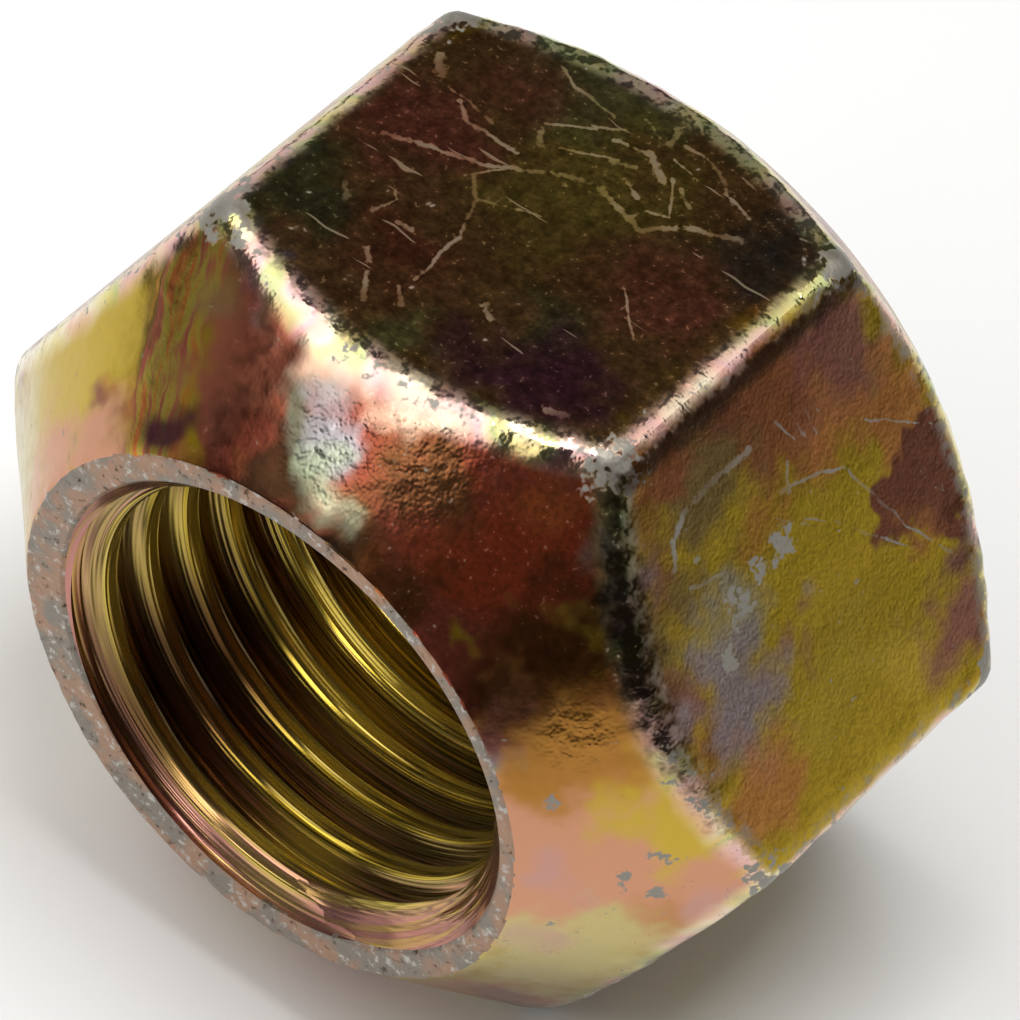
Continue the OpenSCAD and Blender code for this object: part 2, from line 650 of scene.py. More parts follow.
# Colours that follow a value: where each of them stands from 0 to 1, and its tint
FILM_BANDS = (
    (0.00, OLIVE), (0.14, GOLD), (0.30, OCHRE), (0.42, BURNT_ORANGE), (0.52, COPPER),
    (0.62, PLUM_BROWN), (0.74, LILAC_GREY), (0.86, MOSS), (1.00, OLIVE),
)
PALE_BANDS = (
    (0.00, (0.82, 0.72, 0.30)), (0.25, (0.86, 0.78, 0.56)), (0.48, (0.88, 0.52, 0.44)),
    (0.60, (0.78, 0.50, 0.50)), (0.70, (0.86, 0.62, 0.48)), (0.84, (0.52, 0.62, 0.28)),
    (1.00, (0.82, 0.72, 0.30)),
)
STREAK_BANDS = (
    (0.28, DARK_OLIVE), (0.40, RUST), (0.48, OLIVE), (0.55, MAROON), (0.64, DARK_OLIVE), (0.75, ORANGE),
)
THREAD_BANDS = (
    (0.28, (0.06, 0.04, 0.006)), (0.38, (0.70, 0.50, 0.06)), (0.44, (0.08, 0.055, 0.008)),
    (0.50, (0.50, 0.34, 0.12)), (0.55, (0.10, 0.07, 0.01)), (0.60, (0.72, 0.38, 0.22)),
    (0.65, (0.10, 0.06, 0.01)), (0.72, (0.80, 0.62, 0.10)),
)
# Near-black bands for the painted shade deep in the hole
THREAD_SHADE_BANDS = (
    (0.30, (0.02, 0.009, 0.003)), (0.44, (0.13, 0.055, 0.014)), (0.52, (0.035, 0.014, 0.005)),
    (0.60, (0.20, 0.07, 0.035)), (0.70, (0.06, 0.03, 0.008)),
)
MOUTH_BANDS = (
    (0.34, (0.12, 0.05, 0.03)), (0.44, (0.50, 0.20, 0.18)), (0.52, (0.36, 0.15, 0.12)),
    (0.58, (0.52, 0.32, 0.10)), (0.66, (0.56, 0.24, 0.22)),
)

# The film: its thickness on the scale of FILM_BANDS, and how often the pale tints come round on that scale
FILM_THICKNESS = 0.34
PALE_ROUNDS = 2.5

# The clouds that change the film's thickness, as scale, detail and roughness, and by how much they do
BROAD_FILM = (0.22, 0.0)
FINE_FILM = (0.9, 1.0, 0.6)
BROAD_FILM_CHANGE = 1.5
FINE_FILM_CHANGE = 0.5

# The clouds that break up the finish, as scale, detail and roughness
PATCHES = (3.0, 2.0, 0.7)
RAGS = (0.85, 2.0, 0.65)
GRIT = (9.0, 1.0)

# The two ways that scuffs run, as a turn and a stretch of the clouds that they come from
SCUFF_LAYS = (((0.3, 0.9, 0.2), (0.5, 9.0, 3.0)), ((1.1, 0.2, 0.8), (0.6, 11.0, 2.5)))

# Further than any distance that the finishes work out
FAR = 100.0

# Bare zinc and marks that scatter light, the painted dark reflection along edges, and other tints, as
# linear colours
BARE_ZINC = (0.28, 0.26, 0.22, 1)
RING_GREY = (0.235, 0.205, 0.17, 1)
RING_PINK = (0.36, 0.22, 0.145, 1)
RING_FLECK = (0.50, 0.47, 0.43, 1)
# Painted dark reflection, laid along the edges
PAINTED_DARK_REFLECTION = (0.040, 0.022, 0.010, 1)
THREAD_GOLD = (0.80, 0.62, 0.12, 1)
SCRATCH_TAN = (0.16, 0.12, 0.072, 1)
SCRATCH_GREY = (0.23, 0.21, 0.175, 1)
SHADE_BROWN = (0.05, 0.025, 0.01, 1)


def on_flat(number, across, along):
    """A point on a flat, in mm. Flats count from the top to the right, and across runs the same way."""
    turn = number * math.tau / SIDES
    out = FLAT_REACH / MM
    x = out * math.sin(turn) + across * math.cos(turn)
    z = out * math.cos(turn) - across * math.sin(turn)
    return (x, along, z)


def on_seat(degrees, radius):
    """A point on the seat cone, in mm, by its angle from the top towards the right and its radius."""
    turn = math.radians(degrees)
    along = SEAT_Y / MM + (radius - SEAT_END_R / MM) / math.tan(SEAT_HALF_ANGLE)
    return (radius * math.sin(turn), along, radius * math.cos(turn))


def put(rows, place, *face):
    """Rows of a table, with the place on a face that each starts with turned into a point of the nut."""
    return [(place(*face, *at), *rest) for at, *rest in rows]


def scratches_on(flat, scratches):
    """Scratches with their points, given across and along a flat, put onto that flat."""
    return [(width, *(on_flat(flat, *point) for point in points)) for width, *points in scratches]


# Places on the faces: across and along a flat in mm, or on the seat the degrees from the top and the radius

# Blooms of colour that stand out on the plating: place, reach in mm, softness, tint, strength
TOP_BLOOMS = (
    ((0, 1), 7.5, 0.2, UMBER, 0.92),
    ((-1.4, 5.2), 2.6, 0.9, MOSS, 0.55),
    ((-4.2, -1.3), 2.0, 0.8, DARK_MOSS, 0.8),
    ((0.5, 2.5), 2.8, 0.9, OLIVE, 0.5),
    ((3.8, 3.2), 1.7, 0.8, INK, 0.85),
    ((1.8, -0.6), 1.3, 0.9, DARK_MOSS, 0.7),
    ((3.2, 1.4), 1.8, 0.8, MAROON, 0.7),
    ((-3.7, 1.7), 2.0, 0.8, MAROON, 0.8),
    ((-2.6, 3.8), 1.5, 0.9, MAROON, 0.5),
    ((3.0, -1.8), 2.0, 0.8, MULBERRY, 0.8),
    ((1.0, -2.4), 1.3, 0.9, MULBERRY, 0.6),
    ((-1.5, -1.2), 1.9, 0.9, GARNET, 0.7),
    ((1.6, 0.9), 1.3, 0.9, BROWN, 0.6),
    ((-0.2, -2.9), 1.1, 0.8, MOSS, 0.5),
)
RIGHT_BLOOMS = (
    ((0.8, 1.2), 9.0, 0.2, OCHRE, 0.95),
    ((-3.8, 1.6), 2.6, 0.6, RUST_BROWN, 0.95),
    ((-3.4, 3.7), 2.0, 0.6, PLUM_BROWN, 0.9),
    ((-2.2, 2.8), 1.4, 0.8, BURNT_ORANGE, 0.8),
    ((-1.6, 4.7), 1.8, 0.6, BURNT_ORANGE, 0.9),
    ((-4.4, -0.4), 1.8, 0.6, MAROON_BROWN, 0.8),
    ((-3.1, -1.0), 2.1, 0.6, OLIVE_BROWN, 0.95),
    ((-1.4, -3.0), 1.5, 0.7, OLIVE_BROWN, 0.9),
    ((-4.2, -1.8), 1.5, 0.7, RUST_BROWN, 0.85),
    ((-2.6, -2.6), 0.9, 0.8, RUST_BROWN, 0.6),
    ((-0.6, -3.4), 0.8, 0.8, RUST_BROWN, 0.6),
    ((-2.8, -2.9), 0.8, 0.8, LILAC_GREY, 0.6),
    ((-1.6, 0.2), 1.0, 0.9, BURNT_ORANGE, 0.7),
    ((0.3, 4.9), 1.6, 0.2, MAROON_BROWN, 0.97),
    ((1.2, 4.2), 0.9, 0.8, BURNT_ORANGE, 0.7),
    ((3.4, 4.2), 1.6, 0.7, PLUM_BROWN, 0.9),
    ((2.5, 4.8), 0.8, 0.8, MULBERRY, 0.7),
    ((3.3, 2.4), 1.3, 0.8, GOLD, 0.4),
    ((0.2, -3.0), 1.2, 0.7, PLUM_BROWN, 0.85),
    ((1.6, -3.0), 1.0, 0.8, RUST_BROWN, 0.7),
    ((-0.3, -1.2), 1.5, 0.8, ASH, 0.85),
    ((0.9, -1.8), 1.7, 0.7, LILAC_GREY, 0.95),
    ((0.6, -0.4), 0.8, 0.9, PLUM_BROWN, 0.6),
    ((2.0, -2.3), 1.1, 0.8, LILAC_GREY, 0.7),
    ((3.3, -1.9), 1.7, 0.7, BURNT_ORANGE, 0.85),
    ((0.6, 0.6), 0.8, 1.0, PLUM_BROWN, 0.6),
    ((1.5, 0.2), 0.7, 1.0, PLUM_BROWN, 0.5),
    ((0.1, 1.1), 0.6, 1.0, LILAC_GREY, 0.5),
)
SEAT_BLOOMS = (
    ((12, 7.8), 5.0, 0.25, GARNET, 1.0),
    ((31, 8.2), 2.5, 0.6, DEEP_RED, 0.95),
    ((28, 9.0), 1.3, 0.8, RUST, 0.4),
    ((18, 6.6), 1.7, 0.6, SOOT_BROWN, 0.95),
    ((48, 7.8), 2.1, 0.6, SOOT_BROWN, 0.97),
    ((40, 9.3), 0.8, 0.7, TAUPE, 0.75),
    ((11, 8.0), 1.3, 0.8, DARK_COPPER, 0.85),
    ((17, 8.1), 1.3, 0.7, DARK_COPPER, 0.9),
    ((14, 7.1), 1.2, 0.8, BLACK_BROWN, 0.85),
    ((-18, 8.0), 2.0, 0.6, MAROON_RED, 0.95),
    ((-27, 8.7), 1.1, 0.8, OLIVE_DRAB, 0.5),
    ((-16, 8.8), 1.2, 0.8, MAROON, 0.6),
    ((-8, 6.8), 1.7, 0.8, BLACK_BROWN, 0.9),
    ((11, 6.5), 1.3, 0.7, BLACK_BROWN, 0.95),
    ((-30, 6.7), 0.9, 0.7, DARK_PLUM, 0.9),
    ((-14, 6.7), 0.9, 0.8, GARNET, 0.7),
    ((-9, 8.2), 1.3, 0.8, MAROON_BROWN, 0.85),
    ((-4, 6.5), 1.1, 0.8, BLACK_BROWN, 0.9),
    # Painted highlight: pale peach blooms where the edge's highlight spreads onto the seat
    ((6, 8.4), 1.0, 0.8, PAINTED_HIGHLIGHT_PEACH, 0.9),
    ((-3, 8.5), 1.1, 0.8, PAINTED_HIGHLIGHT_PEACH, 0.9),
    ((-5, 7.6), 1.0, 0.6, SILVER_OLIVE, 0.9),
    ((9, 7.2), 1.0, 0.8, DARK_COPPER, 0.85),
    ((2, 6.4), 0.9, 0.8, BLACK_BROWN, 0.9),
    ((0, 7.8), 0.9, 0.8, SILVER_LILAC, 0.8),
    ((2, 7.4), 0.9, 0.8, SILVER_LILAC, 0.9),
    ((5, 6.9), 1.2, 0.8, SILVER_GREEN, 0.95),
    ((85, 7.8), 4.2, 0.3, COPPER_PINK, 1.0),
    ((62, 7.6), 2.0, 0.6, AMBER, 0.97),
    ((76, 8.9), 2.1, 0.6, GOLD, 0.95),
    ((88, 7.0), 1.0, 0.9, LILAC_PINK, 0.8),
    ((98, 8.6), 1.6, 0.8, AMBER, 0.7),
    ((92, 9.2), 1.0, 0.9, LILAC_PINK, 0.7),
    ((112, 7.8), 3.0, 0.6, PALE_STRAW, 0.95),
    ((118, 8.8), 1.4, 0.9, GOLD, 0.6),
    ((106, 6.9), 0.9, 0.9, LILAC_PINK, 0.6),
)
SEAT_LEFT_BLOOMS = (
    ((-62, 8.6), 4.4, 0.4, GOLD, 1.0),
    ((-50, 6.6), 1.3, 0.7, COPPER_PINK, 1.0),
    ((-64, 6.8), 1.4, 0.7, COPPER_PINK, 1.0),
    ((-78, 6.7), 1.4, 0.7, COPPER_PINK, 0.9),
    ((-90, 8.4), 3.0, 0.7, PALE_STRAW, 0.9),
)

# The streaks at the left of the seat, between these angles from the top
STREAKS_FROM = math.radians(-40)
STREAKS_TO = math.radians(-23)

# Where the painted dark reflection along the edge of the seat is widest, in mm
DARK_REFLECTION_PLACE = on_seat(51, 9.4)

# The heights in mm between which the right flat is painted dark, as a painted dark reflection just under
# its edge with the top flat
RIGHT_SHADED = (8.1, 8.5)

# The middle of the part of the thread that is painted dark as shade deep in the hole, in mm
SHADED_BORE_PLACE = (-3.6, -4.0, -3.6)

# Where bright gold is laid on the thread's lines as a painted highlight: place, reach in mm
PAINTED_GLINT_PLACES = (((-1.6, -0.2, -4.9), 2.8), ((-5.1, -3.0, -1.2), 2.2), ((0.3, -5.0, -5.2), 1.8))

# Where the plating is as rough as orange peel, and how deep that is: place, reach in mm
ROUGH_DEPTH = 0.018 * MM
ROUGH_PLACES = (((3, 7.7), 2.2), ((15, 8.1), 2.0), ((60, 7.6), 1.2))

# Places rubbed down to the zinc: place, reach in mm
RIGHT_RUBBED = (((-1.0, 0.6), 0.7), ((-1.0, -0.3), 0.6), ((-0.6, -1.0), 0.8), ((0.2, -1.7), 0.7))
SEAT_RUBBED = (
    ((-25, 9.6), 0.7), ((84, 8.4), 0.5), ((75, 9.3), 0.5), ((88, 7.9), 0.5), ((92, 8.4), 0.6),
    ((70, 7.0), 0.4),
)

# Scratches of use: width in mm, and the points that each runs through on its face
TOP_SCRATCHES = (
    (0.17, (-3.8, 1.0), (-2.9, 1.3), (-1.8, 1.7), (-0.4, 2.6), (0.2, 2.8)),
    (0.21, (0.2, 2.8), (1.0, 2.6), (1.6, 2.5), (2.2, 3.1), (3.2, 3.6)),
    (0.07, (3.3, 4.2), (4.4, 4.6)),
    (0.16, (-3.2, 2.7), (-2.8, 2.4), (-1.5, 2.4)),
    (0.13, (-1.8, 1.3), (-1.3, 0.9), (-0.9, -0.2), (-0.8, -1.6)),
    (0.09, (-1.8, 1.3), (-1.4, 1.9)),
    (0.10, (-1.3, 0.9), (-0.1, 1.4)),
    (0.10, (-2.4, 4.9), (-1.8, 4.6), (-0.7, 4.5)),
    (0.15, (-0.3, 4.0), (0.4, 4.2)),
    (0.27, (0.4, 4.2), (1.1, 3.8)),
    (0.09, (1.2, 2.6), (1.3, 2.9), (1.8, 3.1), (1.2, 4.0)),
    (0.26, (0.4, 5.1), (0.6, 4.7)),
    (0.13, (0.8, 4.9), (1.7, 4.8), (2.2, 4.4), (3.0, 4.2)),
    (0.32, (-4.3, 3.4), (-4.0, 3.0)),
    (0.10, (-3.7, 2.9), (-2.4, 2.7)),
    (0.28, (0.6, -1.2), (0.9, -1.4)),
    (0.20, (-1.5, 3.2), (-1.3, 2.9)),
    (0.10, (-1.6, 3.4), (-0.8, 4.0)),
    (0.10, (-1.0, 3.1), (0.1, 3.6)),
    (0.10, (-2.9, 0.2), (-2.4, -0.2), (-2.6, -0.8)),
    (0.20, (-2.0, -0.7), (-1.7, -0.6)),
    (0.18, (-2.0, -1.6), (-1.8, -1.8)),
    (0.16, (-1.6, -2.1), (-1.2, -2.7)),
    (0.16, (-0.9, -2.0), (-0.6, -2.3)),
    (0.08, (2.3, 1.0), (3.3, 0.1)),
    (0.20, (3.2, -2.5), (3.6, -2.3)),
    (0.10, (-0.9, 4.0), (-0.3, 4.4)),
    (0.14, (0.0, 3.5), (0.5, 3.7)),
    (0.09, (0.9, 4.4), (1.6, 4.3)),
    (0.16, (1.5, 3.9), (1.9, 3.6)),
    (0.09, (1.9, 5.0), (2.6, 4.9)),
    (0.12, (-0.2, 4.9), (0.3, 4.7)),
    (0.14, (0.6, 3.3), (1.0, 3.1)),
    (0.22, (-3.4, -0.6), (-3.2, -0.9)),
)
# Where along the nut, in mm, the top flat is split, so that each part works out only its own scratches, and
# how far past its own ends a part still looks for them
TOP_SPLITS = (0.8, 3.2)
SPLIT_OVERLAP = 0.4

RIGHT_SCRATCHES = (
    (0.22, (-3.2, 0.6), (-3.2, -0.6), (-3.1, -1.5), (-2.8, -2.0), (-2.3, -2.2)),
    (0.12, (-1.7, -2.0), (-1.3, -0.8)),
    (0.20, (-2.1, -1.62), (-2.1, -1.58)),
    (0.11, (-1.9, 1.0), (-1.8, 1.8), (-1.3, 2.8), (0.7, 3.8), (2.0, 4.7)),
    (0.09, (-1.1, 1.3), (-0.6, 2.0), (1.1, 3.6)),
    (0.16, (0.9, 2.05), (0.9, 2.15)),
    (0.08, (-1.9, 3.7), (-0.7, 5.3)),
    (0.10, (-3.3, 1.5), (-2.7, 1.8)),
    (0.08, (-3.2, 1.9), (-2.5, 2.1)),
    (0.09, (-3.0, 2.3), (-2.4, 2.4)),
    (0.12, (-2.4, 1.4), (-1.8, 1.2)),
    (0.08, (-1.6, 0.6), (-0.9, 1.4)),
)

# How deep the lines of the tap and the pits of the ring are
LINE_DEPTH = 0.03 * MM
PIT_DEPTH = 0.03 * MM

# How metallic and rough dull plating is, how rough it is along its edges, and how dull bare zinc is
DULL_METALLIC = 0.2
DULL_ROUGHNESS = 0.5
EDGE_ROUGHNESS = 0.1
ZINC_DULLNESS = 0.75


def new_material(name):
    """A material, its shader, and the place of a point on the nut in mm."""
    material = bpy.data.materials.new(name)
    material.use_nodes = True
    tree = material.node_tree
    shader = tree.nodes["Principled BSDF"]
    place = tree.nodes.new("ShaderNodeTexCoord").outputs["Object"]
    return material, shader, scaled(place, 1 / MM)


def stain(where, ragged, place, reach, softness, strength):
    return use_group(
        "stain", Vector=where, Ragged=ragged, Place=place, Nearness=1 / reach, Inner=1 - softness,
        Strength=strength,
    )["Mask"]


def bloomed(where, ragged, colour, blooms):
    for place, reach, softness, tint, strength in blooms:
        mask = stain(where, ragged, place, reach, softness, strength)
        colour = lay_over(mask, colour, (*tint, 1))
    return colour


def streaked(where, ragged, colour):
    """The dark and rusty streaks that run down the left of the seat."""
    split = parts(where)
    turn = calc("MULTIPLY_ADD", ragged, 0.06, calc("ARCTAN2", split[0], split[2]))
    around = times(turn, 13.0)
    run = vector_calc("MULTIPLY", joined(X=around, Y=split[1]), (1.0, 0.3, 0))
    tint = colour_ramp(cloud(run, 1.0, 3.0, 0.65), STREAK_BANDS)
    started = rise(turn, STREAKS_FROM, STREAKS_FROM + 0.04)
    zone = times(started, fall(turn, STREAKS_TO - 0.12, STREAKS_TO))
    return lay_over(zone, colour, tint)


def film_colour(where, ragged, colour, blooms, seat):
    """The film's colours with a face's blooms over them and, on the seat, those of its left side."""
    flowing = strewn(where, 0.8, 0.8)
    if seat:
        colour = bloomed(flowing, ragged, colour, put(SEAT_LEFT_BLOOMS, on_seat))
        colour = streaked(where, ragged, colour)
    return bloomed(flowing, ragged, colour, blooms)


def plated_face(
    name, blooms=(), scratches=(), rubbed=(), polish=(0.10, 0.36), edge_reach=0.5, ripple=0.3, grain=0.45,
    dark_reflection_reach=None, shaded=None, speckled=None, scuffed=None, mark_tint=SCRATCH_GREY, seat=False,
):
    """The yellow-passivated zinc on one face of the nut, with its blooms, wear and scratches, and, where
    asked, a painted dark reflection along an edge.
    """
    material, shader, where = new_material(name)
    edges = use_group("edge", Vector=where)
    film = use_group("film", Vector=where)
    patchy = cloud(where, *PATCHES)
    grit = cloud(where, *GRIT)
    ragged = calc("MULTIPLY_ADD", cloud(where, *RAGS), 1.5, -0.75)
    colour = film_colour(where, ragged, film["Color"], blooms, seat)
    wear = worn_places(where, edges, patchy, rubbed)
    marks = marked_places(where, edges, patchy, grit, scratches, scuffed)
    if speckled:
        zone = stain(where, ragged, *speckled)
        colour = lay_over(times(fall(grit, 0.36, 0.54), zone), colour, SHADE_BROWN)
        marks = calc("MAXIMUM", marks, times(rise(grit, 0.68, 0.77), zone))
    edge = calc("MULTIPLY_ADD", ragged, 0.25, edges["Edge"])
    polished = fall(edge, 0.1 * edge_reach, edge_reach)
    colour = lay_over(times(polished, 0.85), colour, film["Pale"])
    colour = lay_over(wear, colour, BARE_ZINC)
    colour = lay_over(marks, colour, mark_tint)
    # Painted dark reflection along an edge, laid over the colour
    if dark_reflection_reach:
        dark_reflection = painted_dark_reflection_band(where, edges["Edge"], patchy, dark_reflection_reach, shaded)
        colour = lay_over(dark_reflection, colour, PAINTED_DARK_REFLECTION)
    dull = calc("MAXIMUM", marks, times(wear, ZINC_DULLNESS))
    roughness = between(polished, between(patchy, *polish), EDGE_ROUGHNESS)
    rolled = fall(edges["Edge"], 0.1 * edge_reach, edge_reach)
    feed(
        shader.inputs,
        base_color=colour,
        metallic=between(dull, 1.0, DULL_METALLIC),
        roughness=between(dull, roughness, DULL_ROUGHNESS),
        normal=rippled(where, ripple, grain, rolled, seat),
    )
    return material


def painted_dark_reflection_band(where, edge, patchy, reach, shaded):
    """A painted dark reflection: a dark band along the edge, reach wide in mm at the place where it is
    widest and narrower away from it.
    """
    apart = measure("DISTANCE", where, DARK_REFLECTION_PLACE)
    border = calc("MULTIPLY_ADD", patchy, 1.2, times(apart, 0.14))
    border = calc("MULTIPLY_ADD", edge, 1 / reach, border)
    dark_reflection = times(fall(border, 0.9, 1.6), 0.92)
    if shaded:
        dark_reflection = calc("MAXIMUM", dark_reflection, shaded_band(where, patchy, *shaded))
    return dark_reflection


def shaded_band(where, patchy, low, high):
    """A painted dark reflection: a dark band between two heights in mm, uneven at both borders."""
    height = calc("SUBTRACT", parts(where)[2], 0.2)
    height = calc("MULTIPLY_ADD", patchy, 0.4, height)
    above = rise(height, low - 0.15, low + 0.15)
    below = fall(height, high - 0.1, high)
    return times(times(above, below), 0.8)


def worn_places(where, edges, patchy, rubbed):
    """Where the plating is rubbed to bare zinc: corners, flecks along the edges, and the rubbed places."""
    knocked = between(rise(cloud(where, 0.35, 0.0), 0.4, 0.65), 0.10, 0.22)
    likely = times(fall(edges["Edge"], 0.0, 0.5), knocked)
    likely = calc("MULTIPLY_ADD", fall(edges["Corner"], 0.1, 1.0), 0.28, likely)
    for place, reach in rubbed:
        likely = calc("MAXIMUM", likely, stain(where, 0.0, place, reach, 0.9, 0.3))
    return rise(calc("ADD", patchy, likely), 0.69, 0.80)


def marked_places(where, edges, patchy, grit, scratches, scuffed):
    """Dull marks of use: a rubbed band inside the flats' edges, short random scuffs, and scratches."""
    wavy = strewn(where, 2.0, 0.07)
    near_edge = fall(edges["Edge"], 0.2, 0.45)
    band = times(near_edge, fall(edges["Flat"], 0.02, 0.09))
    band = times(band, rise(patchy, 0.42, 0.58))
    marks = times(band, 0.6)
    if scuffed:
        scuffs = use_group("scuffs", Vector=wavy, Rarity=scuffed)["Mask"]
        marks = calc("MAXIMUM", marks, times(scuffs, 0.8))
    if scratches:
        marks = calc("MAXIMUM", marks, scratched_places(where, wavy, patchy, grit, scratches))
    return marks


def scratched_places(where, wavy, patchy, grit, scratches):
    """The scratches, with ragged borders, fainter in some places than in others."""
    border = FAR
    for width, *points in scratches:
        for start, end in zip(points, points[1:]):
            border = calc("MINIMUM", border, stroke(wavy, start, end, width))
    border = calc("MULTIPLY_ADD", grit, -1.2, calc("MULTIPLY_ADD", patchy, -1.6, border))
    strength = between(rise(cloud(where, 0.9, 0.0), 0.35, 0.65), 0.3, 0.95)
    return times(fall(border, -1.1, -0.5), strength)


def stroke(where, start, end, width):
    run = Vector(end) - Vector(start)
    return use_group(
        "scratch", Vector=where, Start=start, Stroke=run, Share=run / run.length_squared,
        Thinness=2 / width,
    )["Border"]


def rippled(where, ripple, grain, rolled, seat):
    """A ripple all over with a grain on it, stronger along the edges and where the plating is rough."""
    height = use_group("peel", Vector=where, Grain=grain)["Height"]
    rough = bump(ROUGH_DEPTH, height)
    smooth = where.id_data.nodes.new("ShaderNodeNewGeometry").outputs["Normal"]
    share = between(rolled, ripple / 2, 0.65)
    for place, reach in put(ROUGH_PLACES, on_seat) if seat else ():
        share = calc("MAXIMUM", share, stain(where, 0.0, place, reach, 0.8, 1.0))
    blend = add_node("Mix", {0: share, 4: smooth, 5: rough}, data_type="VECTOR")
    return vector_calc("NORMALIZE", blend.outputs[1])


def bare_ring():
    """The narrow face at the seat end, rubbed to grey zinc with pink and bright flecks."""
    material, shader, where = new_material("bare_ring")
    patchy = cloud(where, 3.5, 4.0, 0.7)
    colour = lay_over(rise(cloud(where, 1.1, 2.0), 0.42, 0.6), RING_GREY, RING_PINK)
    colour = lay_over(rise(patchy, 0.54, 0.66), colour, RING_FLECK)
    colour = lay_over(fall(patchy, 0.32, 0.44), colour, SHADE_BROWN)
    roughness = between(patchy, 0.3, 0.6)
    feed(shader.inputs, base_color=colour, roughness=roughness, normal=bump(PIT_DEPTH, patchy))
    shader.inputs["Metallic"].default_value = 0.7
    return material


def tapped_lines(split, off, slow):
    """The fine lines that the tap drew along the helix."""
    turns = calc("DIVIDE", calc("ARCTAN2", split[0], split[2]), math.tau)
    pitches = calc("DIVIDE", split[1], PITCH / MM)
    phase = calc("FRACT", calc("SUBTRACT", pitches, turns))
    drawn = vector_calc("MULTIPLY", joined(X=off, Y=phase), (5.5, 7.0, 0))
    return cloud(vector_calc("ADD", drawn, slow), 1.0, 1.0, 0.6)


def mouth_colour(off, slow):
    """The colours at the mouth of the hole, in the rings that the countersink left."""
    turned = joined(X=times(off, 6.0))
    rings = cloud(vector_calc("ADD", turned, slow), 1.0, 1.0)
    return colour_ramp(rings, MOUTH_BANDS)


def plated_thread():
    """The plating in the tapped hole: gold on the crests, pink at the mouth, painted shade at the lower
    left and a painted highlight where it glints.
    """
    material, shader, where = new_material("plated_thread")
    split = parts(where)
    off = axis_distance(split)
    slow = scaled(where, 0.12)
    lines = tapped_lines(split, off, slow)
    colour = colour_ramp(lines, THREAD_BANDS)
    crest = fall(off, CREST_R / MM + 0.03, CREST_R / MM + 0.14)
    crest = times(crest, rise(lines, 0.4, 0.6))
    colour = lay_over(crest, colour, THREAD_GOLD)
    along = calc("MULTIPLY_ADD", lines, 1.2, split[1])
    mouth = fall(along, SEAT_Y / MM + 0.9, SEAT_Y / MM + 1.4)
    colour = lay_over(times(mouth, 0.85), colour, mouth_colour(off, slow))
    # Painted highlight: bright gold on the thread's lines where it glints
    bright = rise(lines, 0.42, 0.56)
    for place, reach in PAINTED_GLINT_PLACES:
        painted_glint = times(stain(where, 0.0, place, reach, 0.9, 0.8), bright)
        colour = lay_over(painted_glint, colour, THREAD_GOLD)
    # Painted shade: dark bands deep in the hole, at the lower left
    painted_shade = stain(where, 0.0, SHADED_BORE_PLACE, 4.2, 0.8, 0.95)
    colour = lay_over(painted_shade, colour, colour_ramp(lines, THREAD_SHADE_BANDS))
    height = times(lines, between(mouth, 1.0, 0.25))
    feed(shader.inputs, base_color=colour, normal=bump(LINE_DEPTH, height))
    shader.inputs["Metallic"].default_value = 0.85
    shader.inputs["Roughness"].default_value = 0.17
    return material


def pale_floor():
    material, shader, where = new_material("pale_floor")
    tone = cloud(where, 0.02, 0.0)
    feed(shader.inputs, base_color=lay_over(tone, FLOOR_DARKER, FLOOR_LIGHTER))
    shader.inputs["Roughness"].default_value = 0.8
    return material


groups = {
    "stain": stain_group(), "scratch": scratch_group(), "edge": edge_group(), "film": film_group(),
    "peel": peel_group(), "scuffs": scuff_group(),
}


def plated_top(name, low, high):
    """The finish of the top flat between low and high along the nut, with the scratches that come there."""
    near = []
    for scratch in TOP_SCRATCHES:
        places = [along for _, along in scratch[1:]]
        if max(places) > low - SPLIT_OVERLAP and min(places) < high + SPLIT_OVERLAP:
            near.append(scratch)
    return plated_face(
        name, put(TOP_BLOOMS, on_flat, 0), scratches_on(0, near), ripple=0.5, scuffed=0.82,
        speckled=(on_flat(0, 0, 1), 12, 0.5, 0.32), mark_tint=SCRATCH_TAN,
    )


def plated_right():
    return plated_face(
        "plated_right", put(RIGHT_BLOOMS, on_flat, 1), scratches_on(1, RIGHT_SCRATCHES),
        put(RIGHT_RUBBED, on_flat, 1), polish=(0.22, 0.46), edge_reach=0.28, ripple=0.6, grain=1.0,
        dark_reflection_reach=0.7, shaded=RIGHT_SHADED, speckled=(on_flat(1, 0.8, 1.0), 12, 0.5, 0.15),
    )


def plated_seat():
    return plated_face(
        "plated_seat", put(SEAT_BLOOMS, on_seat), rubbed=put(SEAT_RUBBED, on_seat), dark_reflection_reach=0.8, seat=True,
        speckled=(on_seat(24, 7.8), 4.0, 0.6, 0.32),
    )


def face_finishes():
    """The finish of each face, by its name."""
    return {
        "plain": plated_face("plated_plain", scuffed=0.84),
        "top_front": plated_top("plated_top_front", SEAT_Y / MM, TOP_SPLITS[0]),
        "top_middle": plated_top("plated_top_middle", *TOP_SPLITS),
        "top_rear": plated_top("plated_top_rear", TOP_SPLITS[1], REAR_Y / MM),
        "right": plated_right(),
        "seat": plated_seat(),
        "ring": bare_ring(),
        "thread": plated_thread(),
    }


# Where the top and right flats and the seat stand in what face_depths gives
TOP_PAIR = 0
RIGHT_PAIR = 1
SEAT_CONE = 3


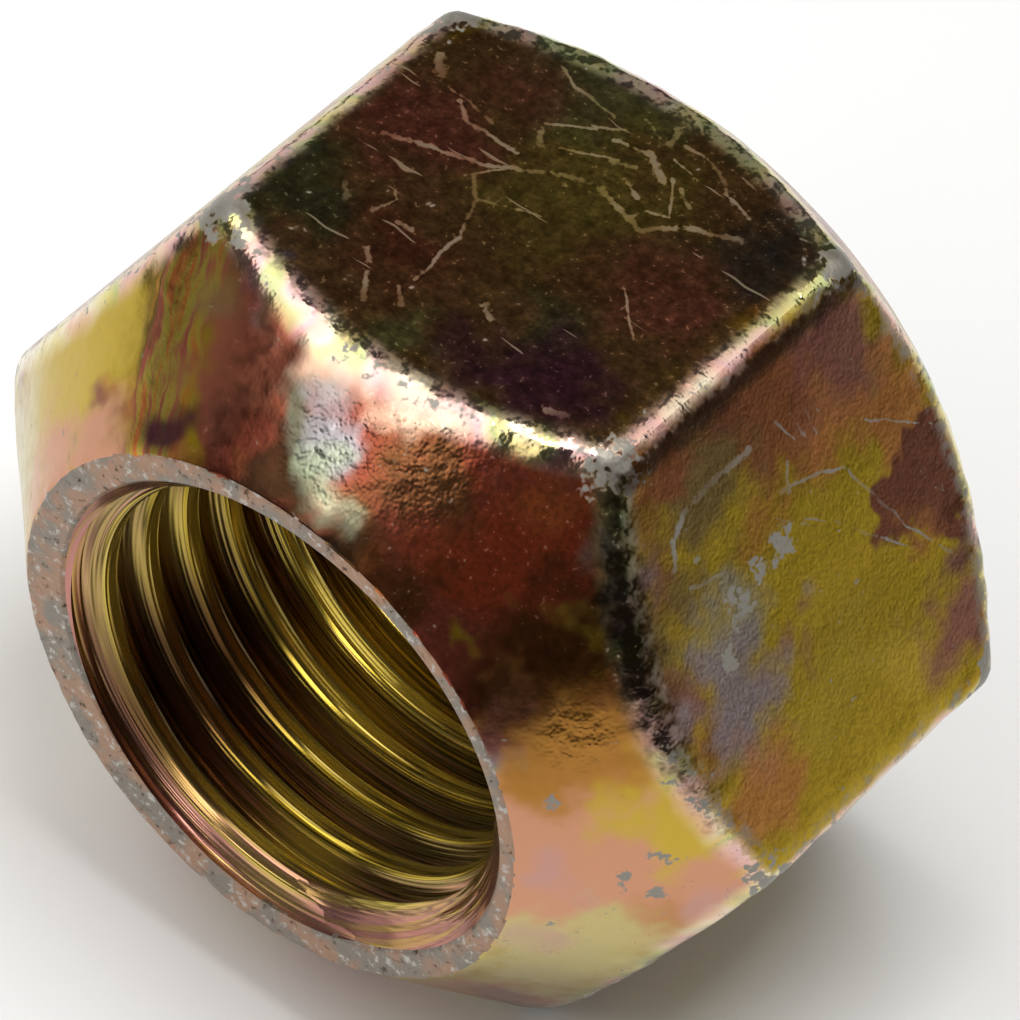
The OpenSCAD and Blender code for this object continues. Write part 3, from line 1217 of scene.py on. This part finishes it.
def finish_at(co):
    """The name of the finish on a face of the nut, by the middle of the face."""
    if co.y < SEAT_Y + 0.2 * SEAT_RIM_R:
        return "ring"
    if off_axis(co) < RING_R and co.y < REAR_Y - WELD:
        return "thread"
    depths = face_depths(co)
    nearest = depths.index(min(depths))
    if nearest == SEAT_CONE:
        return "seat"
    if nearest == TOP_PAIR and co.z > 0:
        return ("top_front", "top_middle", "top_rear")[sum(co.y > split * MM for split in TOP_SPLITS)]
    if nearest == RIGHT_PAIR and co.x > 0:
        return "right"
    return "plain"


def plate(piece):
    """Gives each face of the nut its finish."""
    finishes = face_finishes()
    piece.data.materials.clear()
    for material in finishes.values():
        piece.data.materials.append(material)
    slots = {name: number for number, name in enumerate(finishes)}
    for face in piece.data.polygons:
        face.material_index = slots[finish_at(face.center)]


# The camera, fitted to the outline in the photograph: the seat end from above, a little rolled
CAMERA_AZIMUTH = math.radians(33.84)
CAMERA_ELEVATION = math.radians(48.89)
CAMERA_ROLL = math.radians(7.05)
CAMERA_DISTANCE = 148.5 * MM
CAMERA_AIM_RIGHT = 4.88 * MM
CAMERA_AIM_UP = 4.22 * MM
CAMERA_LENS = 262.8
CAMERA_SENSOR = 36


def camera():
    data = bpy.data.cameras.new("camera")
    data.lens = CAMERA_LENS
    data.sensor_width = CAMERA_SENSOR
    data.clip_start = 0.01
    back = Vector((
        math.sin(CAMERA_AZIMUTH) * math.cos(CAMERA_ELEVATION),
        -math.cos(CAMERA_AZIMUTH) * math.cos(CAMERA_ELEVATION),
        math.sin(CAMERA_ELEVATION),
    ))
    level = Vector((math.cos(CAMERA_AZIMUTH), math.sin(CAMERA_AZIMUTH), 0))
    right = Matrix.Rotation(CAMERA_ROLL, 3, back) @ level
    up = back.cross(right)
    place = Vector((0, SEAT_Y, 0)) + back * CAMERA_DISTANCE + right * CAMERA_AIM_RIGHT + up * CAMERA_AIM_UP
    obj = bpy.data.objects.new("camera", data)
    obj.matrix_world = Matrix.Translation(place) @ Matrix((right, up, back)).transposed().to_4x4()
    bpy.context.scene.collection.objects.link(obj)
    bpy.context.scene.camera = obj


def softbox(name, towards, distance, size, radiance):
    """An area light that stands off in a direction and faces the nut, as bright as radiance all over."""
    data = bpy.data.lights.new(name, "AREA")
    data.shape = "RECTANGLE"
    data.size = size[0]
    data.size_y = size[1]
    data.energy = radiance * math.pi * size[0] * size[1]
    obj = bpy.data.objects.new(name, data)
    away = Vector(towards).normalized()
    across = Vector((0, 1, 0)).cross(away).normalized()
    turned = Matrix((across, away.cross(across), away)).transposed().to_4x4()
    obj.matrix_world = Matrix.Translation(away * distance) @ turned
    obj.visible_camera = False
    bpy.context.scene.collection.objects.link(obj)


# The lights: the way to each from the nut, its distance and size in m, and its radiance
SOFTBOXES = {
    "zenith": ((0.12, 0.1, 0.98), 0.24, (0.12, 0.12), 7.5),
    "front_top": ((-0.40, -0.34, 0.85), 0.22, (0.20, 0.27), 2.0),
    "back_right": ((0.45, 0.55, 0.70), 0.22, (0.24, 0.07), 1.2),
    "front_left": ((-0.17, -0.80, 0.575), 0.25, (0.06, 0.05), 2.4),
    "front_fill": ((0.33, -0.84, 0.44), 0.25, (0.16, 0.1), 0.12),
    "front_low": ((-0.02, -0.99, 0.12), 0.25, (0.07, 0.05), 6.0),
    "back_left": ((-0.8, 0.5, 0.3), 0.25, (0.12, 0.12), 0.8),
    "left_low": ((-0.85, -0.50, 0.17), 0.25, (0.09, 0.06), 0.4),
}

# The room round the nut, and its floor
ROOM_TINT = (0.95, 0.97, 1.0, 1)
ROOM_STRENGTH = 0.07
FLOOR_SIZE = 1.2
FLOOR_DARKER = (0.90, 0.90, 0.89, 1)
FLOOR_LIGHTER = (0.94, 0.94, 0.93, 1)


def studio():
    world = bpy.data.worlds.new("studio")
    world.use_nodes = True
    background = world.node_tree.nodes["Background"]
    background.inputs["Color"].default_value = ROOM_TINT
    background.inputs["Strength"].default_value = ROOM_STRENGTH
    scene = bpy.context.scene
    scene.world = world
    scene.view_settings.view_transform = "Standard"
    for name, light in SOFTBOXES.items():
        softbox(name, *light)


def floor():
    bpy.ops.object.select_all(action="DESELECT")
    bpy.ops.mesh.primitive_plane_add(size=FLOOR_SIZE)
    obj = bpy.context.object
    obj.name = "floor"
    bpy.ops.object.mode_set(mode="EDIT")
    bpy.ops.transform.translate(value=(0, 0, FLOOR_Z))
    leave_edit()
    obj.data.materials.append(pale_floor())


plated_nut = nut()
plate(plated_nut)
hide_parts("lug_nut")
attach(plated_nut, "root")
camera()
studio()
floor()
